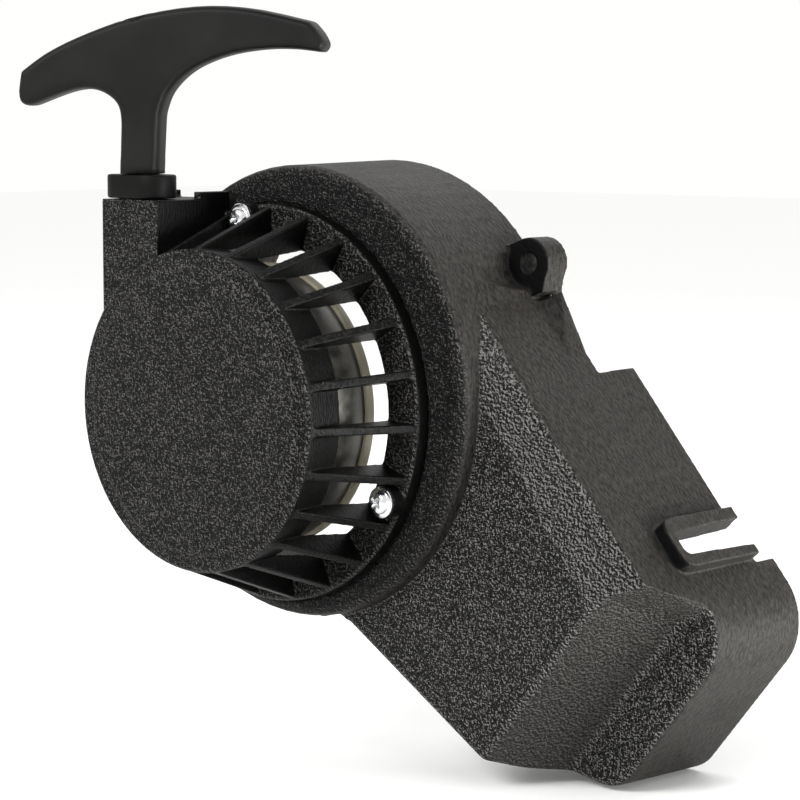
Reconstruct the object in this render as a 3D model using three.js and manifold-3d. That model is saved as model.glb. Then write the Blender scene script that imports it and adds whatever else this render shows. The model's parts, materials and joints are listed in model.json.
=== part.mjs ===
// Recoil (pull) starter with its fan shroud, for a small two-stroke engine.
//
// Frame, millimetres: Y is the crankshaft's axis and +Y points into the engine; +Z is the way the
// rope is pulled; X is to the right when the starter is seen from its front. The origin is on the
// crankshaft's axis in the plane where the shroud's round part meets the engine, so everything in
// front of that plane has a negative y.
import * as THREE from 'three';
import { ConvexGeometry } from 'three/addons/geometries/ConvexGeometry.js';
import { mergeVertices } from 'three/addons/utils/BufferGeometryUtils.js';
import Module from 'manifold-3d';

const wasm = await Module();
wasm.setup();

// ---------------------------------------------------------------- driving dimensions

const wall = 2.8;                      // moulded wall of the shroud
const gap = 0.3;                       // air between pieces that touch on the real object
const past = 1;                        // how far a cutter runs past the face it cuts

// stations along the crankshaft's axis, front to back
const yDisc = -78.7;                   // raised disc on the cap
const yCap = -78;                      // cap's front face
const yCapInside = -75;
const yTower = -74.4;                  // front of the rope tower
const yScrewHoleEnd = -66;             // bottom of the centre screw's blind hole
const ySkirtEnd = -65.1;
const yScrewSeat = -51.6;              // under the cover screws' heads
const yRing = -47.5;                   // front of the cover's mounting ring
const yAnnulus = -43.5;                // front face of the shroud
const yRingBack = -43;
const yLedge = -42.7;                  // seat of the ring, sunk in the shroud's face
const yLedgeBack = -39.7;
const yFacet = -37.7;                  // front of the air duct
const yBossEnd = -33;                  // back of the cover screws' bosses
const yStrip = -13.7;                  // low step at the duct's outer end
const yDuctRim = 15.8;
const yOuterRim = 23.8;

// starter cover, centred on the crankshaft's axis
const discRadius = 39.8;
const capRadius = 45.2;
const skirtInside = 42.2;
const ringInside = 45.9;
const ringRadius = 56.8;
const ledgeInside = 48.5;              // the shroud's opening behind the ring
const ribCount = 22;
const ribFirstAngle = 104.9;
const ribPitch = 15.45;
const ribThickness = 2.4;
const screwRadius = 53;
const screwAngles = [0, 8, 16].map((k) => ribFirstAngle - (k + 0.5) * ribPitch);
const screwHeadRadius = 4.1;
const screwShankRadius = 2;
const bossRadius = 4.4;
const postRadius = 8;
const yPostEnd = -46.7;

// rope tower, guide and handle
const ropeX = -30.2;
const ropeY = -67.9;
const ropeRadius = 1.75;
const towerLeft = -40;
const towerRight = -17.2;
const towerTop = 58;
const towerBack = -57.2;
const guideTop = 65;
const handleBottom = 65.2;
const handleYaw = 30;                  // how the handle lies at rest, turned about the rope
const handleThickness = 11;
const handleTop = 112.2;
const knotSeat = 97.8;                 // floor of the knot's pocket in the handle
const pocketRadius = 5;
const knotRadius = 3.9;
const knotTop = 105.2;
const runStart = [-33.6, -69.1, 0];    // where the rope leaves its winding
const runTop = 98.6;

// shroud: a round part off the crankshaft's axis, and a duct to the lower right
const roundX = 5.9;
const roundZ = 3.3;
const roundRadius = 64.5;
const roundRadiusBack = 65.3;          // the draft of the mould
const lugAngles = [33, 145, 251];
const lugOffset = 68.9;
const lugRadius = 7.1;
const lugHole = 2.8;
const yLug = -8.7;
const recessRadius = 7.6;              // room for a screw's head in front of a lug
const recessTip = 5.4;
const recessFront = -24;

// the duct's outline: [x, z, corner radius], drawn clockwise from inside the round part
const ductCorners = [
  [10, 0, 0],
  [55.4, 42, 0],
  [138, -56.7, 17],
  [100.5, -103, 11],
  [76.5, -98.5, 8],
  [10, -55.2, 0],
];

// how far the outline stands inside its named size at the duct's front and rear: the mould's draft
const ductDraft = [0.6, -0.9];

// the duct's upper right side: s runs down along it from the crease, outwards is positive
const sideStart = [65, 30.5];
const sideSlope = 50.3;

// the steep slope from the duct's face down to the low strip; n is measured across it
const slopeStart = 115;
const slopeEnd = 127.6;
const slopeAngle = -38.65;             // the way n grows, in X and Z
const slopeTurn = 23.3;                // its right half turns away by this much,
const slopePivot = 36;                 // from this place along its upper edge

// a U-shaped lip round the ignition lead's slot, which is open at the duct's rear edge
const slotFront = -15.3;
const slotNarrow = [80.4, 87.6];       // where its two sides lie at the front, as s
const slotWide = [79.2, 88.6];         // and at the rear
const slotCorner = 2.6;
const lipSides = [76, 91.3];
const lipFront = -18.4;
const lipCorner = 5;
const lipHeight = 4.5;

// reel: rope pulley, spring cup and drive plate turn as one
const reelBore = 8.4;
const grooveFront = -71.8;
const grooveBack = -66.4;
const grooveFloor = 14;
const windingRadius = 31.5;
const flangeRadius = 40.5;
const cupRadius = 39.6;
const cupWall = 0.9;
const yCup = -64.6;
const yCupEnd = -49.9;
const plateRadius = 40.3;
const yPlate = -49.6;
const yPlateBack = -46.9;

// pawls: each turns on a pin in the drive plate, and a cam slot in the guide throws it out
const pivotRadius = 26;
const pinRadius = 2;
const pawlBore = 2.25;
const yPawl = -46.2;
const yPawlBack = -42.2;
const pawlAngles = [60, 240];          // where the pivots sit, seen from the front
const pawlThrow = 35;
const guideTurn = 30;
const pegRadius = 1.4;
const pegAt = [9, -3];                 // from the pivot, along and across the pawl
const yGuide = -41.8;
const yGuideBack = -40.8;

const screwShank = 2.5;                // centre screw

// ---------------------------------------------------------------- solids and placing

const rad = THREE.MathUtils.degToRad;

// a geometry with only its positions, and one vertex wherever several met
function welded(geometry) {
  const bare = geometry.clone();
  bare.deleteAttribute('normal');
  bare.deleteAttribute('uv');
  return mergeVertices(bare, 1e-4);
}

function solid(geometry) {
  const merged = welded(geometry);
  const mesh = new wasm.Mesh({
    numProp: 3,
    vertProperties: new Float32Array(merged.attributes.position.array),
    triVerts: new Uint32Array(merged.index.array),
  });
  return new wasm.Manifold(mesh);
}

function geometryOf(manifold) {
  const mesh = manifold.getMesh();
  const geometry = new THREE.BufferGeometry();
  geometry.setAttribute('position', new THREE.BufferAttribute(mesh.vertProperties, 3));
  geometry.setIndex(new THREE.BufferAttribute(mesh.triVerts, 1));
  return geometry;
}

const join = (first, ...rest) => rest.reduce((sum, part) => sum.add(part), first);
const cut = (body, ...tools) => tools.reduce((left, tool) => left.subtract(tool), body);

// a cylinder or cone along the crankshaft's axis
function drum(radius, yFront, yBack, { x = 0, z = 0, backRadius = radius, sides = 48 } = {}) {
  const geometry = new THREE.CylinderGeometry(backRadius, radius, yBack - yFront, sides);
  geometry.translate(x, (yFront + yBack) / 2, z);
  return geometry;
}

// a lathe of [radius, height] pairs about Y; a profile that misses the axis closes on itself
function lathe(profile, sides) {
  const points = profile.map(([radius, height]) => new THREE.Vector2(radius, height));
  const missesAxis = profile[0][0] > 0;
  return new THREE.LatheGeometry(missesAxis ? [...points, points[0]] : points, sides);
}

// a profile of [radius, y] turned about the crankshaft's axis
function turned(profile, { x = 0, z = 0, sides = 72 } = {}) {
  const geometry = lathe(profile, sides);
  geometry.translate(x, 0, z);
  return outward(geometry);
}

// a profile of [radius, z] turned about the rope's axis
function turnedOnRope(profile, sides = 32) {
  const geometry = lathe(profile, sides);
  geometry.rotateX(Math.PI / 2);
  geometry.translate(ropeX, ropeY, 0);
  return outward(geometry);
}

// turns a closed mesh's faces outwards if its profile ran the other way
function outward(geometry) {
  const merged = welded(geometry);
  const position = merged.attributes.position;
  const index = merged.index.array;
  const [a, b, c] = [new THREE.Vector3(), new THREE.Vector3(), new THREE.Vector3()];
  let volume = 0;
  for (let i = 0; i < index.length; i += 3) {
    a.fromBufferAttribute(position, index[i]);
    b.fromBufferAttribute(position, index[i + 1]);
    c.fromBufferAttribute(position, index[i + 2]);
    volume += a.dot(b.cross(c));
  }
  if (volume < 0) {
    for (let i = 0; i < index.length; i += 3) {
      [index[i], index[i + 1]] = [index[i + 1], index[i]];
    }
  }
  return merged;
}

// a shape drawn in X and Z, and pushed from yFront to yBack
function prism(shape, yFront, yBack) {
  const options = { depth: yBack - yFront, bevelEnabled: false, curveSegments: 8 };
  const geometry = new THREE.ExtrudeGeometry(shape, options);
  geometry.rotateX(Math.PI / 2);
  geometry.translate(0, yBack, 0);
  return geometry;
}

function block([x0, y0, z0], [x1, y1, z1]) {
  const geometry = new THREE.BoxGeometry(x1 - x0, y1 - y0, z1 - z0);
  geometry.translate((x0 + x1) / 2, (y0 + y1) / 2, (z0 + z1) / 2);
  return geometry;
}

function shapeOf(points) {
  return new THREE.Shape(points.map(([x, z]) => new THREE.Vector2(x, z)));
}

// a point at a radius and an angle about the crankshaft's axis, seen from the front
const polar = (radius, degrees) => [radius * Math.cos(rad(degrees)), radius * Math.sin(rad(degrees))];

// a closed body on eight corners: four round the near end, then the same four round the far end
function hexahedron(corners) {
  const geometry = new THREE.BufferGeometry();
  geometry.setAttribute('position', new THREE.Float32BufferAttribute(corners.flat(), 3));
  const faces = [[0, 1, 2, 3], [7, 6, 5, 4], [0, 4, 5, 1], [1, 5, 6, 2], [2, 6, 7, 3], [3, 7, 4, 0]];
  geometry.setIndex(faces.flatMap(([a, b, c, d]) => [a, b, c, a, c, d]));
  return outward(geometry);
}

// ---------------------------------------------------------------- fan shroud

// the outline with every side moved inwards, its corners rounded by arcs
function roundedOutline(corners, inset) {
  const count = corners.length;
  const lines = corners.map(([x, z], i) => {
    const [nextX, nextZ] = corners[(i + 1) % count];
    const length = Math.hypot(nextX - x, nextZ - z);
    const along = [(nextX - x) / length, (nextZ - z) / length];
    return { along, at: [x + along[1] * inset, z - along[0] * inset] };
  });
  const meet = (one, two) => {
    const across = one.along[0] * two.along[1] - one.along[1] * two.along[0];
    const step = [two.at[0] - one.at[0], two.at[1] - one.at[1]];
    const reach = (step[0] * two.along[1] - step[1] * two.along[0]) / across;
    return [one.at[0] + one.along[0] * reach, one.at[1] + one.along[1] * reach];
  };
  const shape = new THREE.Shape();
  corners.forEach(([, , radius], i) => {
    const before = lines[(i + count - 1) % count];
    const after = lines[i];
    const [x, z] = meet(before, after);
    const cosine = before.along[0] * after.along[0] + before.along[1] * after.along[1];
    const inner = Math.max(radius - inset, 0);
    const back = inner * Math.tan(Math.acos(cosine) / 2);
    const start = [x - before.along[0] * back, z - before.along[1] * back];
    const end = [x + after.along[0] * back, z + after.along[1] * back];
    if (i === 0) shape.moveTo(...start);
    else shape.lineTo(...start);
    if (inner > 0) {
      const centre = [start[0] + before.along[1] * inner, start[1] - before.along[0] * inner];
      const angle = (point) => Math.atan2(point[1] - centre[1], point[0] - centre[0]);
      shape.absarc(...centre, inner, angle(start), angle(end), true);
    }
  });
  return shape;
}

// directions along the duct's upper right side and out of it, in X and Z
const sideAlong = [Math.cos(rad(sideSlope)), -Math.sin(rad(sideSlope))];
const sideOut = [-sideAlong[1], sideAlong[0]];

function sidePoint(s, out, y) {
  const x = sideStart[0] + sideAlong[0] * s + sideOut[0] * out;
  const z = sideStart[1] + sideAlong[1] * s + sideOut[1] * out;
  return [x, y, z];
}

// takes away what lies in front of the bevel between the duct's face and its upper right side
function bevelCutter(inset) {
  const ends = [-20, 110].map((s) => {
    const width = 12.4 + 0.0893 * (s - 22.7);
    const drop = 7.5 - 0.022 * s;
    const overhang = 6;
    const outerY = yFacet + drop * (1 + overhang / width) + inset;
    return [
      sidePoint(s, -width, yFacet + inset),
      sidePoint(s, overhang, outerY),
      sidePoint(s, overhang, yFacet - 20),
      sidePoint(s, -width, yFacet - 20),
    ];
  });
  return solid(hexahedron(ends.flat()));
}

// a long prism with the slope's section, turned about a point that is pivot along its upper edge
function slopePrism(inset, turn, pivot) {
  const rise = (yStrip - yFacet) / (slopeEnd - slopeStart);
  const shift = inset * (Math.hypot(1, rise) - 1) / rise;
  const section = shapeOf([
    [slopeStart - shift - 10, yFacet - 10 * rise + inset],
    [slopeEnd - shift, yStrip + inset],
    [slopeEnd + 60, yStrip + inset],
    [slopeEnd + 60, yFacet - 40],
    [slopeStart - shift - 10, yFacet - 40],
  ]);
  const length = 200;
  const geometry = new THREE.ExtrudeGeometry(section, { depth: length, bevelEnabled: false });
  geometry.translate(-slopeStart, 0, -length / 2);
  geometry.rotateY(rad(turn));
  geometry.translate(slopeStart, 0, pivot);
  geometry.rotateY(rad(-slopeAngle));
  return solid(geometry);
}

function slopeCutter(inset) {
  return slopePrism(inset, 0, 0).intersect(slopePrism(inset, slopeTurn, slopePivot));
}

function ductForm(inset, yRear) {
  const front = roundedOutline(ductCorners, inset + ductDraft[0]).getPoints(8);
  const rear = roundedOutline(ductCorners, inset + ductDraft[1]).getPoints(8);
  const body = solid(new ConvexGeometry([
    ...front.map(({ x, y }) => new THREE.Vector3(x, yFacet + inset, y)),
    ...rear.map(({ x, y }) => new THREE.Vector3(x, yRear, y)),
  ]));
  return cut(body, bevelCutter(inset), slopeCutter(inset));
}

function roundForm() {
  const edge = 2.6;
  const profile = [
    [0, yAnnulus],
    [roundRadius - edge, yAnnulus],
    [roundRadius - edge * 0.3, yAnnulus + edge * 0.3],
    [roundRadius, yAnnulus + edge],
    [roundRadiusBack, 0],
    [0, 0],
  ];
  return solid(turned(profile, { x: roundX, z: roundZ }));
}

// a U open towards the rear, drawn in s and y, with its two front corners rounded
function slotShape([frontLow, frontHigh], [rearLow, rearHigh], yFront, yRear, round) {
  const shape = new THREE.Shape();
  shape.moveTo(rearLow, yRear);
  shape.lineTo(frontLow, yFront + round);
  shape.quadraticCurveTo(frontLow, yFront, frontLow + round, yFront);
  shape.lineTo(frontHigh - round, yFront);
  shape.quadraticCurveTo(frontHigh, yFront, frontHigh, yFront + round);
  shape.lineTo(rearHigh, yRear);
  return shape;
}

// a shape drawn in s and y, pushed out of the duct's upper right side
function onSide(shape, outFrom, outTo) {
  const options = { depth: outTo - outFrom, bevelEnabled: false, curveSegments: 6 };
  const geometry = new THREE.ExtrudeGeometry(shape, options);
  geometry.translate(0, 0, outFrom);
  const basis = new THREE.Matrix4().makeBasis(
    new THREE.Vector3(sideAlong[0], 0, sideAlong[1]),
    new THREE.Vector3(0, 1, 0),
    new THREE.Vector3(sideOut[0], 0, sideOut[1]),
  );
  geometry.applyMatrix4(basis);
  geometry.translate(sideStart[0], 0, sideStart[1]);
  return solid(geometry);
}

// the shroud ends further forward on the round part than on the duct
function rimCutter(lineStart, lineEnd, yRim) {
  const [dx, dz] = [lineEnd[0] - lineStart[0], lineEnd[1] - lineStart[1]];
  const stretch = 0.35;
  const upper = [lineStart[0] - dx * stretch, lineStart[1] - dz * stretch];
  const lower = [lineEnd[0] + dx * stretch, lineEnd[1] + dz * stretch];
  const far = 160;
  return solid(prism(shapeOf([upper, lower, [-far, lower[1]], [-far, far], [upper[0], far]]), yRim, 40));
}

function lugCentre(degrees) {
  return [roundX + lugOffset * Math.cos(rad(degrees)), roundZ + lugOffset * Math.sin(rad(degrees))];
}

// an ear whose sides run straight down into the round wall
function lug(degrees) {
  const [x, z] = lugCentre(degrees);
  const [footX, footZ] = [roundX, roundZ].map((c, i) => c + (roundRadius - 3) * polar(1, degrees)[i]);
  const ring = (radius, cx, cz) => Array.from({ length: 24 }, (_, i) => {
    const [dx, dz] = polar(radius, i * 15);
    return [cx + dx, cz + dz];
  });
  const outline = [...ring(lugRadius, x, z), ...ring(lugRadius + 1.6, footX, footZ)];
  const points = [yLug, 0].flatMap((y) => outline.map(([px, pz]) => new THREE.Vector3(px, y, pz)));
  return solid(new ConvexGeometry(points));
}

// a tapered pocket sunk in the round wall in front of a lug
function recess(degrees) {
  const [x, z] = lugCentre(degrees);
  return solid(drum(recessTip, recessFront, yLug, { x, z, backRadius: recessRadius, sides: 32 }));
}

function recessBacking(degrees) {
  const [x, z] = lugCentre(degrees);
  const backRadius = recessRadius + 2;
  return solid(drum(recessTip + 2, recessFront - 2, 0, { x, z, backRadius, sides: 32 }));
}

// the upper lug's foot on the duct's side, and a flare from it that dies out down the side
function lugWeb() {
  const [x, z] = lugCentre(lugAngles[0]);
  const [footX, footZ] = [x + 5.1, z - 8];
  const flareEnd = 20;
  const upright = shapeOf([[x - 3, z], [x + 6.5, z - 1], [footX, footZ], [x - 3, z - 11]]);
  const flare = new ConvexGeometry([
    new THREE.Vector3(footX, 0, footZ),
    new THREE.Vector3(...sidePoint(flareEnd, gap, 0)),
    new THREE.Vector3(...sidePoint(0, -wall, 0)),
    new THREE.Vector3(...sidePoint(flareEnd, -wall, 0)),
    new THREE.Vector3(...sidePoint(1, 0, yLug)),
    new THREE.Vector3(...sidePoint(flareEnd, 0, yLug)),
  ]);
  return solid(prism(upright, yLug, 0)).add(solid(flare));
}

// a round hole or boss at each cover screw
function atScrews(radius, yFront, yBack, sides) {
  return screwAngles.map((angle) => {
    const [x, z] = polar(screwRadius, angle);
    return solid(drum(radius, yFront, yBack, { x, z, sides }));
  });
}

function fanShroud() {
  const lead = slotShape(slotNarrow, slotWide, slotFront, yDuctRim + 20, slotCorner);
  const lip = slotShape(lipSides, lipSides, lipFront, yDuctRim - past, lipCorner);
  const outer = join(
    roundForm(),
    ductForm(0, yOuterRim),
    onSide(lip, -wall, lipHeight),
    ...lugAngles.map(lug),
    lugWeb(),
  );
  const hollowProfile = { x: roundX, z: roundZ, backRadius: roundRadiusBack - wall, sides: 72 };
  const hollow = cut(
    join(
      solid(drum(roundRadius - wall, yLedgeBack, past, hollowProfile)),
      ductForm(wall, yOuterRim + past),
    ),
    ...lugAngles.map(recessBacking),
  );
  const shell = cut(
    outer,
    hollow,
    solid(drum(ringRadius + 0.5, yAnnulus - past, yLedge, { sides: 72 })),
    solid(drum(ledgeInside, yLedge - past, yLedgeBack + past, { sides: 72 })),
    onSide(lead, -wall - 4, lipHeight + 4),
    ...lugAngles.map(recess),
    rimCutter([82.2, 11.2], [24, -66.5], 0),
    rimCutter([124, -40.5], [76.5, -98.5], yDuctRim),
  );
  const bosses = atScrews(bossRadius, yLedgeBack - past, yBossEnd, 24);
  const screwHoles = atScrews(screwShankRadius + 0.2, yLedge - past, yBossEnd + past, 16);
  const lugHoles = lugAngles.map((angle) => {
    const [x, z] = lugCentre(angle);
    return solid(drum(lugHole, yLug - past, 2 * past, { x, z, sides: 24 }));
  });
  return cut(join(shell, ...bosses), ...screwHoles, ...lugHoles);
}

// ---------------------------------------------------------------- starter cover

function rib(degrees) {
  const section = shapeOf([
    [43.5, yCap + 1.7],
    [capRadius, yCap + 1.5],
    [56, yRing - 0.1],
    [55.5, yRing + 1.5],
    [46.2, yRing + 1.5],
    [44.2, ySkirtEnd - 0.2],
    [43.5, ySkirtEnd - 0.9],
  ]);
  const geometry = new THREE.ExtrudeGeometry(section, { depth: ribThickness, bevelEnabled: false });
  geometry.translate(0, 0, -ribThickness / 2);
  geometry.rotateY(-rad(degrees));
  return solid(geometry);
}

// the tower that carries the rope up from the reel, and its box back to the ring
function tower() {
  const sheet = 2.6;
  const boxBack = -45.6;
  const deckTop = 60;
  const joinY = towerBack - 0.4;
  const body = join(
    solid(block([towerLeft, yTower, 12], [towerRight, towerBack, towerTop])),
    solid(block([towerLeft, joinY, 18], [towerLeft + sheet, boxBack, deckTop])),
    solid(block([towerRight - sheet, joinY, 38], [towerRight, boxBack, deckTop])),
    solid(block([towerLeft, joinY, towerTop - sheet], [towerRight, boxBack, towerTop])),
  );
  return cut(body, solid(drum(skirtInside + 0.1, yTower - past, boxBack + past, { sides: 72 })));
}

function starterCover() {
  const capProfile = [
    [0, yDisc],
    [discRadius, yDisc],
    [discRadius + 0.7, yCap],
    [capRadius - 0.8, yCap],
    [capRadius, yCap + 0.8],
    [44.4, ySkirtEnd],
    [skirtInside, ySkirtEnd],
    [skirtInside, yCapInside],
    [postRadius, yCapInside],
    [postRadius, yPostEnd],
    [screwShank + 0.1, yPostEnd],
    [screwShank + 0.1, yScrewHoleEnd],
    [0, yScrewHoleEnd],
  ];
  const ringProfile = [
    [ringInside, yRing],
    [ringRadius - 0.6, yRing],
    [ringRadius, yRing + 0.6],
    [ringRadius, yRingBack],
    [ringInside, yRingBack],
  ];
  const body = join(
    solid(turned(capProfile)),
    solid(turned(ringProfile)),
    ...Array.from({ length: ribCount }, (_, k) => rib(ribFirstAngle - k * ribPitch)),
    tower(),
    ...atScrews(bossRadius, yScrewSeat, yRing + past, 24),
  );
  const channel = new THREE.CylinderGeometry(4, 4, 60, 24);
  channel.rotateX(Math.PI / 2);
  channel.translate(ropeX - 0.8, ropeY - 0.3, 35);
  const socket = turnedOnRope([[0, 49.4], [6.3, 49.4], [6.3, 70], [0, 70]]);
  const springSlot = block([0, -64, -1], [postRadius + past, yPostEnd + past, 1]);
  return cut(
    body,
    solid(channel),
    solid(socket),
    solid(springSlot),
    ...atScrews(screwShankRadius + 0.25, yScrewSeat - past, yRingBack + past, 16),
  );
}

// ---------------------------------------------------------------- screws and washers

function coverScrew(degrees) {
  const [x, z] = polar(screwRadius, degrees);
  const headBack = yScrewSeat - 0.1;
  const profile = [
    [0, headBack - 2.6],
    [screwHeadRadius - 1.5, headBack - 2.5],
    [screwHeadRadius, headBack - 1.3],
    [screwHeadRadius, headBack],
    [screwShankRadius, headBack],
    [screwShankRadius, yBossEnd + 1],
    [0, yBossEnd + 1.6],
  ];
  return turned(profile, { x, z, sides: 16 });
}

function centreScrew() {
  const head = 6;
  const yHead = -38.3;
  const yHeadBack = -34.3;
  const profile = [
    [0, yScrewHoleEnd + 1],
    [screwShank, yScrewHoleEnd + 1.6],
    [screwShank, yHead],
    [head, yHead],
    [head, yHeadBack - 0.6],
    [head - 0.6, yHeadBack],
    [0, yHeadBack],
  ];
  return turned(profile, { sides: 24 });
}

function washer(inside, outside, yFront, yBack, sides = 32) {
  return turned([[inside, yFront], [outside, yFront], [outside, yBack], [inside, yBack]], { sides });
}

// ---------------------------------------------------------------- reel

function ropePulley() {
  const yFlange = -73.6;
  const yFlangeBack = -64.9;
  const profile = [
    [reelBore, yFlange],
    [flangeRadius, yFlange],
    [flangeRadius, grooveFront - 0.4],
    [grooveFloor, grooveFront],
    [grooveFloor, grooveBack],
    [flangeRadius, grooveBack + 0.3],
    [flangeRadius, yFlangeBack],
    [reelBore, yFlangeBack],
  ];
  return turned(profile);
}

function springCup() {
  const hole = 11;
  const profile = [
    [hole, yCup],
    [cupRadius - 1, yCup],
    [cupRadius, yCup + 1],
    [cupRadius, yCupEnd],
    [cupRadius - cupWall, yCupEnd],
    [cupRadius - cupWall, yCup + cupWall],
    [hole, yCup + cupWall],
  ];
  return turned(profile);
}

// a flat strip wound as a spiral between the post and the cup, its inner end bent into the post
function recoilSpring() {
  const turns = 8;
  const steps = turns * 24;
  const inner = 9.6;
  const outer = 37.2;
  const half = 0.3;
  const side = (offset) => Array.from({ length: steps + 1 }, (_, i) => {
    const radius = inner + (outer - inner) * (i / steps) + offset;
    return polar(radius, (360 * turns * i) / steps);
  });
  const tang = [[5, -half], [inner, -half]];
  const outline = [...tang.slice(0, 1), ...side(half), ...side(-half).reverse(), [5, half]];
  return prism(shapeOf(outline), -62.9, -51.2);
}

function drivePlate() {
  const disc = solid(turned([
    [reelBore, yPlate],
    [plateRadius, yPlate],
    [plateRadius, yPlateBack],
    [reelBore, yPlateBack],
  ]));
  const holes = pawlAngles.map((angle) => {
    const [x, z] = polar(pivotRadius, angle);
    return solid(drum(pinRadius + 0.15, yPlate - past, yPlateBack + past, { x, z, sides: 24 }));
  });
  return cut(disc, ...holes);
}

function pawlPin(degrees) {
  const [x, z] = polar(pivotRadius, degrees);
  return drum(pinRadius, yPlate + 0.2, yPawlBack - 0.1, { x, z, sides: 20 });
}

// ---------------------------------------------------------------- pawls and their guide

// a point given from the pivot, along and across the pawl, once the pawl has swung out
function fromPivot([along, across], swing, degrees) {
  const turn = rad(swing);
  const a = along * Math.cos(turn) - across * Math.sin(turn);
  const b = along * Math.sin(turn) + across * Math.cos(turn) + pivotRadius;
  const place = rad(degrees - 90);
  return [a * Math.cos(place) - b * Math.sin(place), a * Math.sin(place) + b * Math.cos(place)];
}

function pawl(degrees) {
  const at = (along, across) => fromPivot([along, across], 0, degrees);
  const shape = new THREE.Shape();
  const heel = Array.from({ length: 9 }, (_, i) => 270 - i * 22.5);
  heel.forEach((angle, i) => {
    const point = at(4.2 * Math.cos(rad(angle)), 4.2 * Math.sin(rad(angle)));
    if (i === 0) shape.moveTo(...point);
    else shape.lineTo(...point);
  });
  [[8, 1.6], [17.4, -2.6], [20, -5.4], [17.2, -9], [8, -6.4]].forEach(([along, across]) => {
    shape.lineTo(...at(along, across));
  });
  const [pivotX, pivotZ] = at(0, 0);
  const [pegX, pegZ] = at(...pegAt);
  const body = solid(prism(shape, yPawl, yPawlBack));
  const bore = drum(pawlBore, yPawl - past, yPawlBack + past, { x: pivotX, z: pivotZ, sides: 24 });
  const peg = drum(pegRadius, yPawlBack - past, yGuideBack + 0.3, { x: pegX, z: pegZ, sides: 16 });
  return body.subtract(solid(bore)).add(solid(peg));
}

// a plate that lags behind the reel, with a cam slot for each pawl's peg
function pawlGuide() {
  const ear = (degrees) => {
    const arc = Array.from({ length: 9 }, (_, i) => polar(34.5, degrees - 63 + i * 7.5));
    return solid(prism(shapeOf([[0, 0], ...arc]), yGuide, yGuideBack));
  };
  const slotRadius = pegRadius + 0.6;
  const camSlot = (degrees) => {
    const steps = 10;
    const discs = Array.from({ length: steps + 1 }, (_, i) => {
      const share = i / steps;
      const [x, z] = fromPivot(pegAt, pawlThrow * share, degrees);
      const lag = rad(guideTurn * share);
      const at = {
        x: x * Math.cos(lag) + z * Math.sin(lag),
        z: z * Math.cos(lag) - x * Math.sin(lag),
        sides: 12,
      };
      return solid(drum(slotRadius, yGuide - past, yGuideBack + past, at));
    });
    return discs;
  };
  const hub = solid(drum(12, yGuide, yGuideBack, { sides: 36 }));
  return cut(
    join(hub, ...pawlAngles.map(ear)),
    solid(drum(3.2, yGuide - past, yGuideBack + past, { sides: 24 })),
    ...pawlAngles.flatMap(camSlot),
  );
}

// ---------------------------------------------------------------- rope, its guide and the handle

// a collar with rounded corners, on a round spigot that sits in the tower's top
function ropeGuide() {
  const [halfX, halfY, corner, edge] = [11.1, 6.5, 5.5, 0.6];
  const shape = new THREE.Shape();
  const corners = [[1, -1, -90], [1, 1, 0], [-1, 1, 90], [-1, -1, 180]];
  corners.forEach(([signX, signY, from]) => {
    const [cx, cy] = [signX * (halfX - edge - corner), signY * (halfY - edge - corner)];
    shape.absarc(cx, cy, corner, rad(from), rad(from + 90), false);
  });
  const collar = new THREE.ExtrudeGeometry(shape, {
    depth: guideTop - towerTop - gap - 2 * edge,
    bevelThickness: edge,
    bevelSize: edge,
    bevelSegments: 2,
    curveSegments: 6,
  });
  collar.translate(ropeX, ropeY, towerTop + gap + edge);
  const spigot = turnedOnRope([[0, 50], [6, 50], [6, guideTop - 2], [0, guideTop - 2]]);
  const mouth = guideTop + 0.1;
  const bore = turnedOnRope([[0, 49], [2.6, 49], [2.6, mouth - 1.3], [3.9, mouth], [0, mouth]]);
  return cut(join(solid(collar), solid(spigot)), solid(bore));
}

// the rope from the winding up into the handle, where its knot holds it
function ropeRun() {
  const path = new THREE.CatmullRomCurve3([
    new THREE.Vector3(...runStart),
    new THREE.Vector3(-32.6, -68.8, 15),
    new THREE.Vector3(-31.1, -68.3, 34),
    new THREE.Vector3(ropeX, ropeY, 50),
    new THREE.Vector3(ropeX, ropeY, 66),
    new THREE.Vector3(ropeX, ropeY, runTop),
  ]);
  const section = new THREE.Shape();
  section.absarc(0, 0, ropeRadius, 0, 2 * Math.PI);
  return new THREE.ExtrudeGeometry(section, { steps: 18, curveSegments: 5, extrudePath: path });
}

function ropeWinding() {
  return washer(grooveFloor + gap, windingRadius, grooveFront + gap, grooveBack - gap, 48);
}

// the grip's outline: [along the grip, z], from the neck's lower left corner round to the right
function gripShape() {
  const shape = new THREE.Shape();
  const spline = (...points) => shape.splineThru(points.map(([p, z]) => new THREE.Vector2(p, z)));
  shape.moveTo(-5.4, handleBottom);
  shape.lineTo(-4.9, 79.5);
  spline([-5.6, 84.2], [-8.8, 87.4], [-13.8, 89.1], [-20.8, 88.2], [-31.8, 84.2]);
  spline([-34.2, 84.8], [-35.3, 87.3], [-34.4, 94.2]);
  spline([-26, 99.9], [-14, 105.2], [0, 109.6], [17, 112.2], [33, 111.6], [50.6, 107.8]);
  spline([53.2, 104.8], [54.8, 101.4], [53.6, 99.2]);
  spline([46, 100.1], [37, 100.1], [26, 98.4], [16, 94.4], [9.4, 88.4], [6.8, 82]);
  shape.lineTo(5.9, handleBottom);
  return shape;
}

// the grip before its bore is cut
function gripBody() {
  const round = 3;
  const edge = 1.2;
  const geometry = new THREE.ExtrudeGeometry(gripShape(), {
    depth: handleThickness - 2 * round,
    bevelEnabled: true,
    bevelThickness: round,
    bevelSize: edge,
    bevelOffset: -edge,
    bevelSegments: 2,
    curveSegments: 3,
  });
  geometry.translate(0, 0, round - handleThickness / 2);
  geometry.rotateX(Math.PI / 2);
  geometry.rotateZ(rad(handleYaw));
  geometry.translate(ropeX, ropeY, 0);
  return solid(geometry);
}

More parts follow.
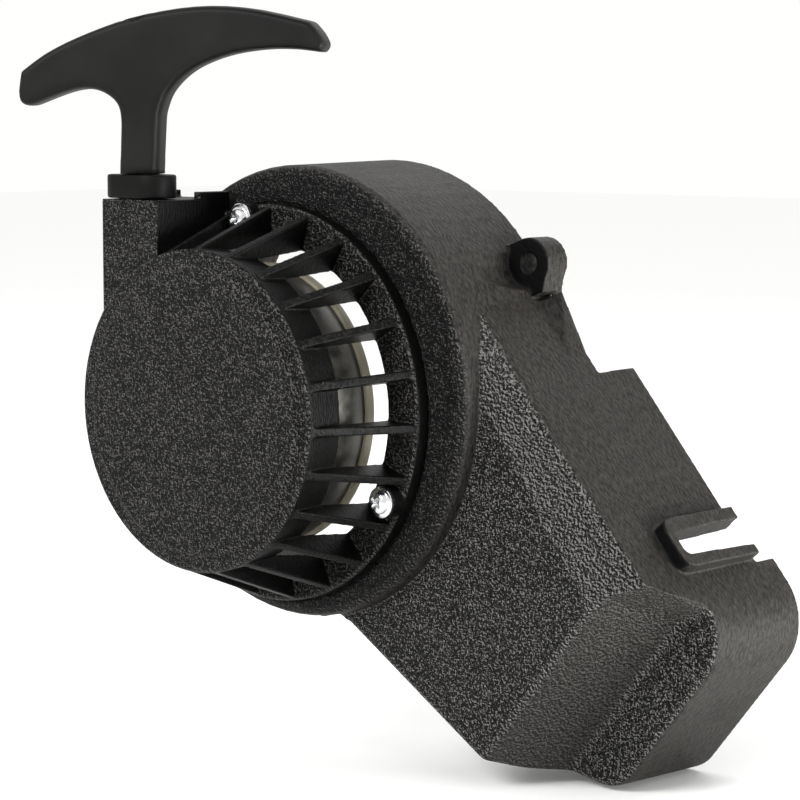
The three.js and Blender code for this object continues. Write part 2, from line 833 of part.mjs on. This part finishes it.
function handle() {
  const above = handleTop + 20;
  const below = handleBottom - 5;
  const floor = block([-60, -120, below], [20, -20, handleBottom]);
  const bore = turnedOnRope([
    [0, below],
    [2.5, below],
    [2.5, knotSeat],
    [pocketRadius, knotSeat],
    [pocketRadius, above],
    [0, above],
  ], 24);
  return cut(gripBody(), solid(bore), solid(floor));
}

// closes the knot's pocket flush with the grip's top
function handlePlug() {
  const radius = pocketRadius - gap;
  const low = knotTop + 0.4;
  const high = handleTop + 20;
  return solid(turnedOnRope([[0, low], [radius, low], [radius, high], [0, high]], 24)).intersect(gripBody());
}

function ropeKnot() {
  const low = knotTop - 5.9;
  return turnedOnRope([
    [0, low],
    [2.4, low + 0.2],
    [knotRadius, low + 2.1],
    [knotRadius, low + 3.6],
    [2.4, knotTop - 0.3],
    [0, knotTop],
  ], 16);
}

function knotWasher() {
  const [low, high] = [knotSeat + gap, knotSeat + 1.1];
  const outside = pocketRadius - 0.4;
  return turnedOnRope([[2.1, low], [outside, low], [outside, high], [2.1, high]], 20);
}

// ---------------------------------------------------------------- materials and assembly

function finish(color, roughness, metalness) {
  return new THREE.MeshStandardMaterial({ color, roughness, metalness });
}

const blackCast = finish(0x1c1c1c, 0.6, 0);
const blackSatin = finish(0x2a2a2a, 0.55, 0);
const creamNylon = finish(0xd8cdb0, 0.5, 0);
const zincSteel = finish(0xb9b9b6, 0.35, 1);
const springSteel = finish(0x6d7076, 0.4, 1);
const brightScrew = finish(0xd9dadc, 0.25, 1);
const blackRope = finish(0x26262a, 0.9, 0);

const starter = new THREE.Group();

function place(name, shape, material) {
  const geometry = shape instanceof THREE.BufferGeometry ? shape : geometryOf(shape);
  const mesh = new THREE.Mesh(geometry, material);
  mesh.name = name;
  starter.add(mesh);
}

place('fan_shroud', fanShroud(), blackCast);
place('starter_cover', starterCover(), blackCast);
place('rope_guide', ropeGuide(), blackSatin);
screwAngles.forEach((angle, i) => place(`cover_screw_${i + 1}`, coverScrew(angle), brightScrew));
place('recoil_spring', recoilSpring(), springSteel);
place('centre_screw', centreScrew(), brightScrew);
place('retaining_washer', washer(2.8, 12.5, -46.4, -45.2), zincSteel);
place('guide_spacer', washer(2.8, 6, -44.9, -42.1, 24), zincSteel);
place('friction_spring', washer(3.6, 6.5, -40.5, -38.6, 24), springSteel);

place('rope_pulley', ropePulley(), creamNylon);
place('spring_cup', springCup(), zincSteel);
place('drive_plate', drivePlate(), creamNylon);
pawlAngles.forEach((angle, i) => place(`pawl_pin_${i + 1}`, pawlPin(angle), zincSteel));
place('rope_winding', ropeWinding(), blackRope);
pawlAngles.forEach((angle, i) => place(`pawl_${i + 1}`, pawl(angle), springSteel));
place('pawl_guide', pawlGuide(), zincSteel);

place('rope_run', ropeRun(), blackRope);
place('rope_knot', ropeKnot(), blackRope);
place('knot_washer', knotWasher(), zincSteel);
place('handle', handle(), blackSatin);
place('handle_plug', handlePlug(), blackSatin);

export default starter;
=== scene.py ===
"""Looks of the recoil starter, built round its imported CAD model. Metres, +Y into the engine, +Z up."""
import json
import math

import bmesh
import bpy
import numpy as np
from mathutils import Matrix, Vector

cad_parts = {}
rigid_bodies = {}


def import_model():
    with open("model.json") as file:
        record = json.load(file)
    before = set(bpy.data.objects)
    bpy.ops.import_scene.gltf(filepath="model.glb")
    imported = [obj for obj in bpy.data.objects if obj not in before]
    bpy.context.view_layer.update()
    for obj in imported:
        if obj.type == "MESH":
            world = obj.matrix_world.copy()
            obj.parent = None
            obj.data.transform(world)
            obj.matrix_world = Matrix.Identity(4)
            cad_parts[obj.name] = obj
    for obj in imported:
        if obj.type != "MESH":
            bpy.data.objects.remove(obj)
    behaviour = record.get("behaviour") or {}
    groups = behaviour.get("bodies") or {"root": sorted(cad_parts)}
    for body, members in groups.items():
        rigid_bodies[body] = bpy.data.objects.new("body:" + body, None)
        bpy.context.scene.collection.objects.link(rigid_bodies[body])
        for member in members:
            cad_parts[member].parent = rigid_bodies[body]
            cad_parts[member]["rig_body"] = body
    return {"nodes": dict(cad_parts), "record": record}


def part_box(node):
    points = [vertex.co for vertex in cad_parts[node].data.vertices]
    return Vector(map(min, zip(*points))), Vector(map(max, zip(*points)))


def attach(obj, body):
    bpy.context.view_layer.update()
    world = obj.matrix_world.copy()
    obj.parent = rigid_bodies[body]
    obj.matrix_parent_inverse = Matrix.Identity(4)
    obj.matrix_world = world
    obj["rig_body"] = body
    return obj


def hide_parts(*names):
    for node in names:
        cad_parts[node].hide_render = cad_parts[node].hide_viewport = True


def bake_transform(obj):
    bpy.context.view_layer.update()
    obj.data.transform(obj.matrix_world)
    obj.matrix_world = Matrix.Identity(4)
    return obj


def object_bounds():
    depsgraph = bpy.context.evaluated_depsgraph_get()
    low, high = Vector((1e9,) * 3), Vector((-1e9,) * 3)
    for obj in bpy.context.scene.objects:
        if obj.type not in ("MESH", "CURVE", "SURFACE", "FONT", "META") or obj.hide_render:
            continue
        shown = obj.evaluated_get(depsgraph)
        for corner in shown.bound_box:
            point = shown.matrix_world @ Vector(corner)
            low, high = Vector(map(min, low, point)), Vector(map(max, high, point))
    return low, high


MM = 0.001

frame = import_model()
cad_low, cad_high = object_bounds()
SLOTS = {row["node"]: row["material_slot"] for row in frame["record"]["subparts"]}
OPENINGS = {row["name"]: row for row in frame["record"]["physics"]["openings"]}

# The lip round the lead's slot: the middle of its rounded front, and how far it reaches from there.
slot_low, slot_high = (Vector(corner) for corner in OPENINGS["lead_slot"]["box_m"])
slot_middle = (slot_low + slot_high) / 2
LIP_FRONT = Vector((slot_middle.x, -18 * MM, slot_middle.z))
LIP_REACH = 9.5 * MM

# The shroud's round part, and the places along Y where its surfaces lie.
ROUND_CENTRE = (5.9 * MM, 3.3 * MM)
ROUND_REACH = 66.5 * MM
RING_FRONT = -43 * MM
DUCT_FRONT = -38.5 * MM
LUG_FRONT = -9 * MM

ROPE_AXIS = Vector((-30.2 * MM, -67.9 * MM, 0))
ROPE_RADIUS = 1.75 * MM
GUIDE_FOOT = 50 * MM
ROPE_TOP = 98.4 * MM


# ---------------------------------------------------------------- camera, floor and light

CAMERA_PLACE = (0.5689, -0.6234, 0.0859)
CAMERA_TURN = (math.radians(42), math.radians(6))


def add_camera():
    azimuth, elevation = CAMERA_TURN
    forward = Vector((
        -math.sin(azimuth) * math.cos(elevation),
        math.cos(azimuth) * math.cos(elevation),
        -math.sin(elevation),
    ))
    data = bpy.data.cameras.new("camera")
    data.sensor_width = 36
    data.lens = 128.25
    data.clip_start = 0.02
    data.clip_end = 20
    camera = bpy.data.objects.new("camera", data)
    camera.location = CAMERA_PLACE
    camera.rotation_mode = "QUATERNION"
    camera.rotation_quaternion = forward.to_track_quat("-Z", "Y")
    bpy.context.scene.collection.objects.link(camera)
    bpy.context.scene.camera = camera


def add_floor():
    mesh = bpy.data.meshes.new("floor")
    half, z = 4, cad_low.z - 0.5 * MM
    corners = [(-half, -half, z), (half, -half, z), (half, half, z), (-half, half, z)]
    mesh.from_pydata(corners, [], [(0, 1, 2, 3)])
    floor = bpy.data.objects.new("floor", mesh)
    bpy.context.scene.collection.objects.link(floor)
    pale = bpy.data.materials.new("pale_floor")
    pale.use_nodes = True
    shader = pale.node_tree.nodes["Principled BSDF"]
    shader.inputs["Base Color"].default_value = (0.95, 0.95, 0.94, 1)
    shader.inputs["Roughness"].default_value = 0.9
    mesh.materials.append(pale)


def put_light(data, place, target):
    light = bpy.data.objects.new(data.name, data)
    light.location = place
    aim = Vector(target) - Vector(place)
    light.rotation_mode = "QUATERNION"
    light.rotation_quaternion = aim.to_track_quat("-Z", "Y")
    bpy.context.scene.collection.objects.link(light)


def area_light(name, place, target, size, power):
    data = bpy.data.lights.new(name, "AREA")
    data.shape = "RECTANGLE"
    data.size, data.size_y = size
    data.energy = power
    put_light(data, place, target)


def spot_light(name, place, target, degrees, power):
    data = bpy.data.lights.new(name, "SPOT")
    data.energy = power
    data.spot_size = math.radians(degrees)
    data.spot_blend = 1.0
    data.shadow_soft_size = 0.1
    put_light(data, place, target)


def add_lights():
    world = bpy.data.worlds.new("studio")
    world.use_nodes = True
    background = world.node_tree.nodes["Background"]
    background.inputs["Color"].default_value = (1, 1, 0.99, 1)
    background.inputs["Strength"].default_value = 1.0
    bpy.context.scene.world = world
    bpy.context.scene.view_settings.view_transform = "Standard"
    middle = (0.03, -0.02, 0)
    area_light("back_light", (-0.2, 1.0, 0.9), middle, (1.0, 0.6), 3.5)
    spot_light("floor_bounce", (0.6, 0.25, 0.5), (0.42, 0.08, cad_low.z), 34, 560)
    area_light("right_light", (1.2, 0.4, 0.0), middle, (0.5, 0.3), 18)
    area_light("front_light", (0.0, -1.0, 0.65), middle, (0.6, 0.4), 12)


# ---------------------------------------------------------------- node helpers

class Nodes:
    """A short way to build one material's node tree."""

    def __init__(self, name):
        self.material = bpy.data.materials.new(name)
        self.material.use_nodes = True
        self.tree = self.material.node_tree
        self.shader = self.tree.nodes["Principled BSDF"]
        self.place = self.add("ShaderNodeTexCoord").outputs["Object"]

    def add(self, kind, **settings):
        node = self.tree.nodes.new(kind)
        for key, value in settings.items():
            if hasattr(node, key):
                setattr(node, key, value)
            else:
                node.inputs[key.replace("_", " ")].default_value = value
        return node

    def join(self, output, target):
        self.tree.links.new(output, target)

    def noise(self, scale, detail=3.0, stretch=(1, 1, 1), shift=0.0):
        node = self.add("ShaderNodeTexNoise")
        node.inputs["Scale"].default_value = scale
        node.inputs["Detail"].default_value = detail
        node.inputs["Roughness"].default_value = 0.55
        self.join(self.moved(stretch, shift), node.inputs["Vector"])
        return node.outputs["Fac"]

    def relief_and_painted_shade(self, scale, detail, shift, swing, stretch=(1, 1, 1)):
        """Painted light and shade of a lumpy surface lit from one side, also used for bumps: its height less
        the height a step away.
        """
        here = self.noise(scale, detail, stretch)
        beside = self.noise(scale, detail, stretch, shift)
        return self.ranged(self.math("SUBTRACT", here, beside), -swing, swing, 0.0, 1.0)

    def cells(self, scale, stretch=(1, 1, 1)):
        node = self.add("ShaderNodeTexVoronoi")
        node.inputs["Scale"].default_value = scale
        self.join(self.moved(stretch, 0.0), node.inputs["Vector"])
        return node.outputs["Distance"]

    def mix(self, share, first, second):
        node = self.add("ShaderNodeMix", data_type="FLOAT")
        for name, value in (("Factor", share), ("A", first), ("B", second)):
            self.join(value, node.inputs[name])
        return node.outputs["Result"]

    def mix_colours(self, share, first, second):
        node = self.add("ShaderNodeMix", data_type="RGBA")
        colour_a, colour_b = (socket for socket in node.inputs if socket.type == "RGBA")
        self.join(share, node.inputs["Factor"])
        for socket, colour in ((colour_a, first), (colour_b, second)):
            if isinstance(colour, tuple):
                socket.default_value = (*colour, 1)
            else:
                self.join(colour, socket)
        return next(socket for socket in node.outputs if socket.type == "RGBA")

    def moved(self, stretch, shift):
        node = self.add("ShaderNodeMapping")
        node.inputs["Scale"].default_value = stretch
        node.inputs["Location"].default_value = (shift, 0, shift)
        self.join(self.place, node.inputs["Vector"])
        return node.outputs["Vector"]

    def math(self, operation, first, second=None):
        node = self.add("ShaderNodeMath", operation=operation)
        for socket, value in zip(node.inputs, (first, second)):
            if value is None:
                continue
            if isinstance(value, (int, float)):
                socket.default_value = value
            else:
                self.join(value, socket)
        return node.outputs["Value"]

    def ranged(self, value, low, high, to_low, to_high):
        node = self.add("ShaderNodeMapRange")
        for name, number in (("From Min", low), ("From Max", high), ("To Min", to_low), ("To Max", to_high)):
            node.inputs[name].default_value = number
        self.join(value, node.inputs["Value"])
        return node.outputs["Result"]

    def colours(self, value, *stops):
        node = self.add("ShaderNodeValToRGB")
        ramp = node.color_ramp
        while len(ramp.elements) < len(stops):
            ramp.elements.new(0.5)
        for element, (position, colour) in zip(ramp.elements, stops):
            element.position = position
            element.color = (*colour, 1)
        self.join(value, node.inputs["Fac"])
        return node.outputs["Color"]

    def bump(self, height, distance, strength=1.0):
        node = self.add("ShaderNodeBump")
        node.inputs["Distance"].default_value = distance
        node.inputs["Strength"].default_value = strength
        self.join(height, node.inputs["Height"])
        self.join(node.outputs["Normal"], self.shader.inputs["Normal"])

    def set(self, **values):
        for key, value in values.items():
            self.shader.inputs[key.replace("_", " ")].default_value = value


# ---------------------------------------------------------------- materials

# Painted shade: near black for the plain front faces of the lugs and of the slot's lip.
SHADED_BLACK = (0.001, 0.001, 0.001)
GRAIN_TONES = [(0.0, 0.005), (0.42, 0.02), (0.7, 0.13), (0.95, 1.0)]
GRAIN_TINT = (1.0, 0.965, 0.93)


def black_cast(name, side_dark, side_light, speck, gloss, roughness, ring_painted_shade):
    """Black moulded nylon: linen grain in front, crackle on slight bevels, streaks on the sides.

    The faces of the lugs and of the slot's lip are plain and painted nearly black, which is painted shade,
    and the flat ring round the cover is darker than the rest by an amount of painted shade, for the shadow
    the cover casts on it.
    """
    m = Nodes(name)
    geometry = m.add("ShaderNodeNewGeometry")
    parts = m.add("ShaderNodeSeparateXYZ")
    m.join(geometry.outputs["Normal"], parts.inputs["Vector"])
    forward = m.math("ABSOLUTE", parts.outputs["Y"])
    spot = m.add("ShaderNodeSeparateXYZ")
    m.join(m.place, spot.inputs["Vector"])
    from_lip = m.add("ShaderNodeVectorMath", operation="DISTANCE")
    from_lip.inputs[1].default_value = LIP_FRONT
    m.join(m.place, from_lip.inputs[0])
    # covered is where front faces take the grain; the lugs' faces and the slot's lip are left out and get
    # painted shade.
    covered = m.math("MULTIPLY", m.ranged(spot.outputs["Y"], LUG_FRONT - 3 * MM, LUG_FRONT - MM, 1.0, 0.0),
                     m.ranged(from_lip.outputs["Value"], LIP_REACH - MM, LIP_REACH, 0.0, 1.0))
    front = m.ranged(forward, 0.3, 0.8, 0.0, 1.0)
    grained = m.math("MULTIPLY", front, covered)
    shaded = m.math("SUBTRACT", front, grained)
    flat = m.ranged(forward, 0.975, 0.99, 0.0, 1.0)
    weft = m.noise(2100, 1, (0.45, 1, 1))
    warp = m.noise(2100, 1, (1, 1, 0.45))
    # The lumps and the crackle are painted light and shade of the grain, as lit from one side; they also
    # make its bumps.
    lumps_and_painted_shade = m.relief_and_painted_shade(1900, 2, 0.18 * MM, 0.3)
    weave = m.ranged(m.math("MAXIMUM", weft, warp), 0.4, 0.7, 0.0, 1.0)
    linen = m.math("ADD", m.math("MULTIPLY", weave, 0.5), m.math("MULTIPLY", lumps_and_painted_shade, 0.5))
    crackle = m.ranged(m.relief_and_painted_shade(1250, 4, 0.25 * MM, 0.3), 0.0, 1.0, 0.125, 1.07)
    grain = m.mix(flat, crackle, linen)
    streaks = m.noise(1500, 3, (0.4, 1, 0.4))
    height = m.mix(grained, m.math("MULTIPLY", streaks, 0.5), grain)
    # Painted shade: surfaces in front of RING_FRONT, the flat ring round the cover, are darker for the
    # shadow the cover casts on them.
    shade = m.ranged(spot.outputs["Y"], RING_FRONT, RING_FRONT + 2 * MM, ring_painted_shade, 0.0)
    tone = m.math("SUBTRACT", m.ranged(grain, 0.25, 0.77, 0.0, 1.0), shade)
    tones = [(at, [speck * share * tint for tint in GRAIN_TINT]) for at, share in GRAIN_TONES]
    streaked = m.colours(streaks, (0.35, side_dark), (0.65, side_light))
    side_colour = m.mix_colours(shaded, streaked, SHADED_BLACK)
    m.join(m.mix_colours(grained, side_colour, m.colours(tone, *tones)), m.shader.inputs["Base Color"])
    patches = m.noise(45, 4)
    m.join(m.ranged(patches, 0.3, 0.7, roughness - 0.03, roughness + 0.03), m.shader.inputs["Roughness"])
    m.set(Specular_IOR_Level=gloss)
    m.bump(height, 0.5 * MM, 1.0)
    return m.material


def black_satin(name, dark, light, gloss):
    m = Nodes(name)
    fine = m.noise(1800, 3)
    broad = m.noise(45, 4)
    m.join(m.colours(broad, (0.3, dark), (0.7, light)), m.shader.inputs["Base Color"])
    m.join(m.ranged(broad, 0.3, 0.7, 0.46, 0.56), m.shader.inputs["Roughness"])
    m.set(Specular_IOR_Level=gloss)
    m.bump(fine, 0.06 * MM, 0.7)
    return m.material


def cream_nylon():
    m = Nodes("cream_nylon")
    broad = m.noise(50, 3)
    m.join(m.colours(broad, (0.3, (0.19, 0.172, 0.125)), (0.7, (0.26, 0.237, 0.18))),
           m.shader.inputs["Base Color"])
    m.set(Roughness=0.45)
    m.bump(m.noise(900, 2), 0.03 * MM, 0.5)
    return m.material


def metal(name, dark, light, roughness, grain_stretch):
    m = Nodes(name)
    grain = m.noise(300, 4, stretch=grain_stretch)
    m.join(m.colours(grain, (0.3, dark), (0.7, light)), m.shader.inputs["Base Color"])
    m.join(m.ranged(grain, 0.3, 0.7, roughness - 0.06, roughness + 0.08), m.shader.inputs["Roughness"])
    m.set(Metallic=1.0)
    m.bump(grain, 0.02 * MM, 0.4)
    return m.material


def black_rope():
    m = Nodes("black_rope")
    weave = m.cells(700, (1, 1, 0.6))
    m.join(m.colours(weave, (0.1, (0.035, 0.035, 0.038)), (0.8, (0.008, 0.008, 0.009))),
           m.shader.inputs["Base Color"])
    m.set(Roughness=0.85)
    m.bump(m.math("MULTIPLY", weave, -1.0), 0.25 * MM, 0.9)
    return m.material


MATERIALS = {
    "black_cast": black_cast("black_cast", (0.0045, 0.0041, 0.0037), (0.026, 0.024, 0.0214),
                             speck=0.15, gloss=0.1, roughness=0.5, ring_painted_shade=0.22),
    # A darker copy of black_cast: painted shade for the cover's sides, ribs and hollows, which lie in shade.
    "shade_painted_cast": black_cast("shade_painted_cast", (0.001, 0.001, 0.0009), (0.003, 0.0028, 0.0026),
                            speck=0.078, gloss=0.08, roughness=0.42, ring_painted_shade=0.0),
    "black_satin": black_satin("black_satin", (0.001, 0.001, 0.0009), (0.0055, 0.0055, 0.005), 0.14),
    # A darker copy of black_satin: painted shade for the rope guide's collar, which sits low and in shadow.
    "shade_painted_satin": black_satin("shade_painted_satin", (0.001, 0.001, 0.0009), (0.002, 0.002, 0.0018), 0.1),
    "cream_nylon": cream_nylon(),
    "zinc_steel": metal("zinc_steel", (0.08, 0.078, 0.07), (0.13, 0.127, 0.115), 0.34, (1, 1, 1)),
    "spring_steel": metal("spring_steel", (0.13, 0.14, 0.16), (0.2, 0.21, 0.23), 0.38, (1, 1, 1)),
    "bright_screw": metal("bright_screw", (0.66, 0.67, 0.68), (0.78, 0.79, 0.8), 0.2, (1, 1, 1)),
    "black_rope": black_rope(),
}


def paint(piece, material_name):
    piece.data.materials.clear()
    piece.data.materials.append(MATERIALS[material_name])


# ---------------------------------------------------------------- pieces

def body_of(node):
    return frame["nodes"][node]["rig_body"]


def smooth_by_angle(mesh, degrees):
    mesh.shade_smooth()
    mesh.set_sharp_from_angle(angle=math.radians(degrees))


def welded_copy(node):
    """A copy of a CAD node's mesh, its triangles welded, as a new piece that stands for the node."""
    mesh = frame["nodes"][node].data.copy()
    work = bmesh.new()
    work.from_mesh(mesh)
    bmesh.ops.remove_doubles(work, verts=work.verts, dist=0.002 * MM)
    work.to_mesh(mesh)
    work.free()
    piece = bpy.data.objects.new(f"{node}_shown", mesh)
    bpy.context.scene.collection.objects.link(piece)
    return piece


def applied(piece):
    """Turns the piece's modifiers into its own mesh."""
    view = bpy.context.evaluated_depsgraph_get()
    mesh = bpy.data.meshes.new_from_object(piece.evaluated_get(view))
    piece.modifiers.clear()
    piece.data = mesh


def places(piece):
    flat = np.empty(len(piece.data.vertices) * 3)
    piece.data.vertices.foreach_get("co", flat)
    return flat.reshape(-1, 3)


def remesh(piece, voxel):
    modifier = piece.modifiers.new("remesh", "REMESH")
    modifier.mode = "VOXEL"
    modifier.voxel_size = voxel
    applied(piece)


def soften(piece, rounds, where=None):
    """Rounds edges and corners, everywhere or only where a test of the vertices' places says so."""
    modifier = piece.modifiers.new("soften", "SMOOTH")
    modifier.factor = 0.5
    modifier.iterations = rounds
    if where is not None:
        group = piece.vertex_groups.new(name="soft")
        chosen = np.nonzero(where(places(piece)))[0]
        group.add(chosen.tolist(), 1.0, "REPLACE")
        modifier.vertex_group = "soft"
    applied(piece)
    piece.vertex_groups.clear()


def thin_out(piece, keep):
    piece.modifiers.new("thin", "DECIMATE").ratio = keep
    applied(piece)


def stand_for(piece, node):
    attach(piece, body_of(node))
    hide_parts(node)
    paint(piece, SLOTS[node])
    return piece


FINE = 0.36 * MM
DUCT_CREASE = 1.7 * MM


def shroud():
    """The duct's front creases are broad, and the other edges and the slot's lip tight."""
    piece = welded_copy("fan_shroud")
    remesh(piece, FINE)
    soften(piece, 6)

    def duct_front(at):
        clear = np.hypot(at[:, 0] - ROUND_CENTRE[0], at[:, 2] - ROUND_CENTRE[1]) > ROUND_REACH
        clear &= np.hypot(at[:, 0] - LIP_FRONT.x, at[:, 2] - LIP_FRONT.z) > LIP_REACH + 4.5 * MM
        return clear & (at[:, 1] < LUG_FRONT) & (at[:, 1] > DUCT_FRONT)

    soften(piece, int((2 * DUCT_CREASE / FINE) ** 2), duct_front)
    thin_out(piece, 0.25)
    piece.data.shade_smooth()
    stand_for(piece, "fan_shroud")


def cover():
    piece = welded_copy("starter_cover")
    remesh(piece, FINE * 0.9)
    soften(piece, 3)
    thin_out(piece, 0.3)
    piece.data.shade_smooth()
    stand_for(piece, "starter_cover")
    # The cover takes the darker copy of black_cast, painted shade for its shaded sides and hollows.
    paint(piece, "shade_painted_cast")


def handle():
    """The grip's underside is rounded more than its top, and its foot is flat."""
    piece = welded_copy("handle")
    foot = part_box("handle")[0].z
    remesh(piece, 0.45 * MM)
    soften(piece, 8)

    def underside(at):
        across = (at[:, 0] - ROPE_AXIS.x) * math.cos(math.radians(30))
        across += (at[:, 1] - ROPE_AXIS.y) * math.sin(math.radians(30))
        middle = 0.0985 + 0.17 * across - 3.4 * across ** 2     # the height of the curved grip's middle line
        return (at[:, 2] < middle) & (at[:, 2] > foot + 4 * MM)

    soften(piece, 30, underside)
    thin_out(piece, 0.5)
    flatten_foot(piece, foot)
    piece.data.shade_smooth()
    return stand_for(piece, "handle")


def flatten_foot(piece, foot):
    """Draws the rounded foot back down to a flat end."""
    at = places(piece)
    near = at[:, 2] < foot + 1.2 * MM
    at[near, 2] = foot
    piece.data.vertices.foreach_set("co", at.ravel())
    piece.data.update()


def linked(name, mesh):
    """A finished bmesh as a new object in the scene, its faces pointing outwards."""
    bmesh.ops.recalc_face_normals(mesh, faces=mesh.faces)
    data = bpy.data.meshes.new(name)
    mesh.to_mesh(data)
    mesh.free()
    piece = bpy.data.objects.new(name, data)
    bpy.context.scene.collection.objects.link(piece)
    return piece


def turned(name, profile, centre, sides=48):
    """A profile of [radius, y] turned about a line along Y."""
    mesh = bmesh.new()
    rings = []
    for radius, y in profile:
        if radius == 0:
            rings.append([mesh.verts.new((centre[0], y, centre[1]))])
            continue
        turns = [math.tau * k / sides for k in range(sides)]
        rings.append([mesh.verts.new((centre[0] + radius * math.cos(a), y, centre[1] + radius * math.sin(a)))
                      for a in turns])
    for low, high in zip(rings, rings[1:]):
        for k in range(sides):
            near, far = [low[n % len(low)] for n in (k, k + 1)], [high[n % len(high)] for n in (k + 1, k)]
            mesh.faces.new(list(dict.fromkeys(near + far)))
    return linked(name, mesh)


def cover_screw(number):
    """A pan-head screw with a flange and a cross recess."""
    node = f"cover_screw_{number}"
    low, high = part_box(node)
    centre = ((low.x + high.x) / 2, (low.z + high.z) / 2)
    seat = low.y + 2.6 * MM
    profile = [(0, -2.75), (1.6, -2.7), (2.6, -2.35), (3.1, -1.7), (3.25, -0.95), (3.45, -0.85), (4.1, -0.8),
               (4.3, -0.6), (4.3, -0.2), (4.1, 0), (2, 0), (2, 17.5), (1.2, 18.4), (0, 18.5)]
    piece = turned(f"{node}_shown", [(r * MM, seat + y * MM) for r, y in profile], centre)
    blades = [blade_cutter(centre, low.y, turn) for turn in (25 * number, 25 * number + 90)]
    for blade in blades:
        cut = piece.modifiers.new("recess", "BOOLEAN")
        cut.object = blade
        cut.solver = "EXACT"
    edge = piece.modifiers.new("edge", "BEVEL")
    edge.width = 0.08 * MM
    edge.segments = 2
    edge.angle_limit = math.radians(50)
    applied(piece)
    for blade in blades:
        bpy.data.objects.remove(blade)
    smooth_by_angle(piece.data, 35)
    return stand_for(piece, node)


def blade_cutter(centre, front, degrees):
    """One tapered blade of the screwdriver's cross."""
    turn = math.radians(degrees)
    corners = []
    for y, long, wide in ((front - 1 * MM, 2.4 * MM, 0.55 * MM), (front + 1.6 * MM, 1.0 * MM, 0.35 * MM)):
        for along, across in ((-long, -wide), (long, -wide), (long, wide), (-long, wide)):
            x = along * math.cos(turn) - across * math.sin(turn)
            z = along * math.sin(turn) + across * math.cos(turn)
            corners.append((centre[0] + x, y, centre[1] + z))
    faces = [(0, 1, 2, 3), (7, 6, 5, 4), (0, 4, 5, 1), (1, 5, 6, 2), (2, 6, 7, 3), (3, 7, 4, 0)]
    return made("blade", corners, faces)


def made(name, corners, faces):
    """A new object from its corners, and its faces as corner numbers."""
    mesh = bmesh.new()
    points = [mesh.verts.new(corner) for corner in corners]
    for face in faces:
        mesh.faces.new([points[k] for k in face])
    return linked(name, mesh)


def tube(name, path, radius, sides=14):
    """A round tube along a path of points, closed at both ends."""
    mesh = bmesh.new()
    rings = []
    side = Vector((0, 1, 0))
    for k, point in enumerate(path):
        along = (path[min(k + 1, len(path) - 1)] - path[max(k - 1, 0)]).normalized()
        side = (side - along * side.dot(along)).normalized()
        other = along.cross(side)
        turns = [math.tau * n / sides for n in range(sides)]
        rings.append([mesh.verts.new(point + side * (radius * math.cos(a)) + other * (radius * math.sin(a)))
                      for a in turns])
    for low, high in zip(rings, rings[1:]):
        for n in range(sides):
            mesh.faces.new([low[n], low[(n + 1) % sides], high[(n + 1) % sides], high[n]])
    mesh.faces.new(rings[0][::-1])
    mesh.faces.new(rings[-1])
    piece = linked(name, mesh)
    piece.data.shade_smooth()
    return piece


def rope():
    """The turns on the pulley, and the stretch that runs up into the handle."""
    outer, inner = 29.7 * MM, 15.9 * MM     # the winding's first and last radius
    turns, middle, sway = 4.2, -69.1 * MM, 0.6 * MM
    steps = int(turns * 72)
    coil = []
    for k in range(steps + 1):
        share = k / steps
        angle = math.pi + math.tau * turns * share
        radius = outer + (inner - outer) * share
        y = middle + sway * math.cos(math.pi * turns * share)
        coil.append(Vector((radius * math.cos(angle), y, radius * math.sin(angle))))
    stand_for(tube("rope_turns", coil, ROPE_RADIUS), "rope_winding")
    start = coil[0]
    guide_foot = ROPE_AXIS + Vector((0, 0, GUIDE_FOOT))
    top = ROPE_AXIS + Vector((0, 0, ROPE_TOP))
    climb = []
    for k in range(40):
        share = k / 40
        ease = share * share * (3 - 2 * share)
        climb.append(start.lerp(guide_foot, ease).xy.to_3d() + Vector((0, 0, guide_foot.z * share)))
    rings = 160
    straight = [guide_foot.lerp(top, k / rings) for k in range(rings + 1)]
    run = tube("rope_taut", climb + straight, ROPE_RADIUS)
    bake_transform(run)
    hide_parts("rope_run")
    paint(run, "black_rope")


def rounded_node(node, width):
    """A CAD piece whose shape is right: it only gets its edges broken."""
    piece = welded_copy(node)
    flat = piece.modifiers.new("flat", "DECIMATE")
    flat.decimate_type = "DISSOLVE"
    flat.angle_limit = math.radians(0.5)
    edge = piece.modifiers.new("edge", "BEVEL")
    edge.width = width
    edge.segments = 2
    edge.angle_limit = math.radians(40)
    applied(piece)
    smooth_by_angle(piece.data, 30)
    return stand_for(piece, node)


EDGE_WIDTHS = {
    "rope_guide": 0.3, "centre_screw": 0.25, "retaining_washer": 0.15, "guide_spacer": 0.15,
    "spring_cup": 0.2, "drive_plate": 0.3, "rope_pulley": 0.3, "pawl_1": 0.25,
    "pawl_2": 0.25, "pawl_guide": 0.12, "knot_washer": 0.12,
}

shroud()
cover()
handle()
for screw_number in (1, 2, 3):
    cover_screw(screw_number)
rope()
for node, width in EDGE_WIDTHS.items():
    rounded_node(node, width * MM)
# The rope guide takes the darker copy of black_satin, painted shade for its shadowed collar.
paint(bpy.data.objects["rope_guide_shown"], "shade_painted_satin")
for node, piece in frame["nodes"].items():
    if not piece.hide_render:
        paint(piece, SLOTS[node])
        piece.data.shade_smooth()
        piece.data.set_sharp_from_angle(angle=math.radians(35))

add_camera()
add_floor()
add_lights()
